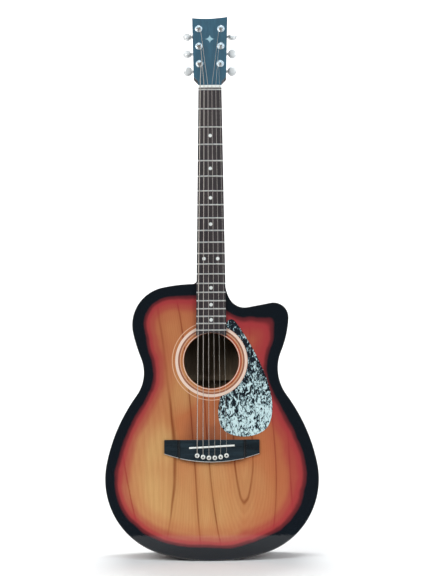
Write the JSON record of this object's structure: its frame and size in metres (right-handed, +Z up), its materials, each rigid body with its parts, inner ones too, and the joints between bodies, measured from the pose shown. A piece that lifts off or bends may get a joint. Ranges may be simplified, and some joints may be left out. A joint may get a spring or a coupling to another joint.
{
  "type": "acoustic guitar",
  "caption": "Steel-string acoustic guitar with a rounded cutaway, arched back, pickguard, pull-out bridge pins and worm-geared tuning machines.",
  "frame": {"origin": "centreline at the zero fret, in the glue plane between neck and fretboard, where a yoke hanger holds the neck below the head", "axes": "+Z up the neck towards the head, +X to the treble side (cutaway and pickguard), +Y from the soundboard to the back, so the soundboard faces -Y"},
  "size_m": [0.3806, 0.1134, 1.0068],
  "materials": {
    "sunburst_lacquer": "gloss",
    "body_lacquer": "gloss",
    "black_binding": "gloss",
    "bare_wood": "matte",
    "rosette_inlay": "gloss",
    "marbled_pickguard": "gloss",
    "black_wood": "satin",
    "white_bone": "satin",
    "neck_lacquer": "gloss",
    "head_lacquer": "gloss",
    "pearl": "gloss",
    "rosewood": "satin",
    "fret_wire": "polished",
    "steel": "satin",
    "string_steel": "polished",
    "string_bronze": "satin",
    "brass": "satin",
    "chrome": "polished",
    "white_pin": "gloss"
  },
  "bodies": {
    "guitar": {"soundboard": "sunburst_lacquer", "back_plate": "body_lacquer", "side_bass": "body_lacquer", "side_treble": "body_lacquer", "bindings": "black_binding", "linings": "bare_wood", "neck_block": "bare_wood", "tail_block": "bare_wood", "x_braces": "bare_wood", "soundboard_braces": "bare_wood", "bridge_plate": "bare_wood", "back_braces": "bare_wood", "back_strip": "bare_wood", "rosette": "rosette_inlay", "pickguard": "marbled_pickguard", "bridge": "black_wood", "saddle": "white_bone", "neck": "neck_lacquer", "head_veneer": "head_lacquer", "head_inlay": "pearl", "fretboard": "rosewood", "frets": "fret_wire", "position_dots": "pearl", "nut": "white_bone", "truss_rod": "steel", "plain_strings": "string_steel", "wound_strings": "string_bronze", "ball_ends": "brass", "tuner_housings": "chrome", "tuner_bushings": "chrome", "tuner_screws": "chrome"},
    "truss_nut": {"truss_rod_nut": "steel"},
    "pin_1": {"bridge_pin_1": "white_pin"},
    "pin_2": {"bridge_pin_2": "white_pin"},
    "pin_3": {"bridge_pin_3": "white_pin"},
    "pin_4": {"bridge_pin_4": "white_pin"},
    "pin_5": {"bridge_pin_5": "white_pin"},
    "pin_6": {"bridge_pin_6": "white_pin"},
    "key_1": {"tuner_worm_1": "steel", "tuner_button_1": "chrome"},
    "post_1": {"tuner_post_1": "chrome"},
    "key_2": {"tuner_worm_2": "steel", "tuner_button_2": "chrome"},
    "post_2": {"tuner_post_2": "chrome"},
    "key_3": {"tuner_worm_3": "steel", "tuner_button_3": "chrome"},
    "post_3": {"tuner_post_3": "chrome"},
    "key_4": {"tuner_worm_4": "steel", "tuner_button_4": "chrome"},
    "post_4": {"tuner_post_4": "chrome"},
    "key_5": {"tuner_worm_5": "steel", "tuner_button_5": "chrome"},
    "post_5": {"tuner_post_5": "chrome"},
    "key_6": {"tuner_worm_6": "steel", "tuner_button_6": "chrome"},
    "post_6": {"tuner_post_6": "chrome"}
  },
  "joints": [
    {"name": "truss_nut_turn", "type": "hinge", "parent": "guitar", "child": "truss_nut", "pos_m": [0, 0.008, -0.3845], "axis": [0, 0, 1], "range_deg": [-180, 180]},
    {"name": "pin_1_pull", "type": "slide", "parent": "guitar", "child": "pin_1", "axis": [0, -1, 0], "range_m": [0, 0.03]},
    {"name": "pin_2_pull", "type": "slide", "parent": "guitar", "child": "pin_2", "axis": [0, -1, 0], "range_m": [0, 0.03]},
    {"name": "pin_3_pull", "type": "slide", "parent": "guitar", "child": "pin_3", "axis": [0, -1, 0], "range_m": [0, 0.03]},
    {"name": "pin_4_pull", "type": "slide", "parent": "guitar", "child": "pin_4", "axis": [0, -1, 0], "range_m": [0, 0.03]},
    {"name": "pin_5_pull", "type": "slide", "parent": "guitar", "child": "pin_5", "axis": [0, -1, 0], "range_m": [0, 0.03]},
    {"name": "pin_6_pull", "type": "slide", "parent": "guitar", "child": "pin_6", "axis": [0, -1, 0], "range_m": [0, 0.03]},
    {"name": "key_1_turn", "type": "hinge", "parent": "guitar", "child": "key_1", "pos_m": [0.0194, 0.0257, 0.04466], "axis": [1, 0, 0], "continuous": true},
    {"name": "post_1_turn", "type": "hinge", "parent": "guitar", "child": "post_1", "pos_m": [0.0194, 0.01057, 0.0538], "axis": [0, -0.9744, 0.225], "continuous": true},
    {"name": "key_2_turn", "type": "hinge", "parent": "guitar", "child": "key_2", "pos_m": [0.0206, 0.03425, 0.08168], "axis": [1, 0, 0], "continuous": true},
    {"name": "post_2_turn", "type": "hinge", "parent": "guitar", "child": "post_2", "pos_m": [0.0206, 0.01912, 0.09082], "axis": [0, -0.9744, 0.225], "continuous": true},
    {"name": "key_3_turn", "type": "hinge", "parent": "guitar", "child": "key_3", "pos_m": [0.0212, 0.0428, 0.11871], "axis": [1, 0, 0], "continuous": true},
    {"name": "post_3_turn", "type": "hinge", "parent": "guitar", "child": "post_3", "pos_m": [0.0212, 0.02767, 0.12785], "axis": [0, -0.9744, 0.225], "continuous": true},
    {"name": "key_4_turn", "type": "hinge", "parent": "guitar", "child": "key_4", "pos_m": [-0.0212, 0.0428, 0.11871], "axis": [1, 0, 0], "continuous": true},
    {"name": "post_4_turn", "type": "hinge", "parent": "guitar", "child": "post_4", "pos_m": [-0.0212, 0.02767, 0.12785], "axis": [0, -0.9744, 0.225], "continuous": true},
    {"name": "key_5_turn", "type": "hinge", "parent": "guitar", "child": "key_5", "pos_m": [-0.0206, 0.03425, 0.08168], "axis": [1, 0, 0], "continuous": true},
    {"name": "post_5_turn", "type": "hinge", "parent": "guitar", "child": "post_5", "pos_m": [-0.0206, 0.01912, 0.09082], "axis": [0, -0.9744, 0.225], "continuous": true},
    {"name": "key_6_turn", "type": "hinge", "parent": "guitar", "child": "key_6", "pos_m": [-0.0194, 0.0257, 0.04466], "axis": [1, 0, 0], "continuous": true},
    {"name": "post_6_turn", "type": "hinge", "parent": "guitar", "child": "post_6", "pos_m": [-0.0194, 0.01057, 0.0538], "axis": [0, -0.9744, 0.225], "continuous": true}
  ],
  "couplings": [
    {"joint": "post_1_turn", "follows": "key_1_turn", "ratio": -0.071429},
    {"joint": "post_2_turn", "follows": "key_2_turn", "ratio": -0.071429},
    {"joint": "post_3_turn", "follows": "key_3_turn", "ratio": -0.071429},
    {"joint": "post_4_turn", "follows": "key_4_turn", "ratio": 0.071429},
    {"joint": "post_5_turn", "follows": "key_5_turn", "ratio": 0.071429},
    {"joint": "post_6_turn", "follows": "key_6_turn", "ratio": 0.071429}
  ]
}
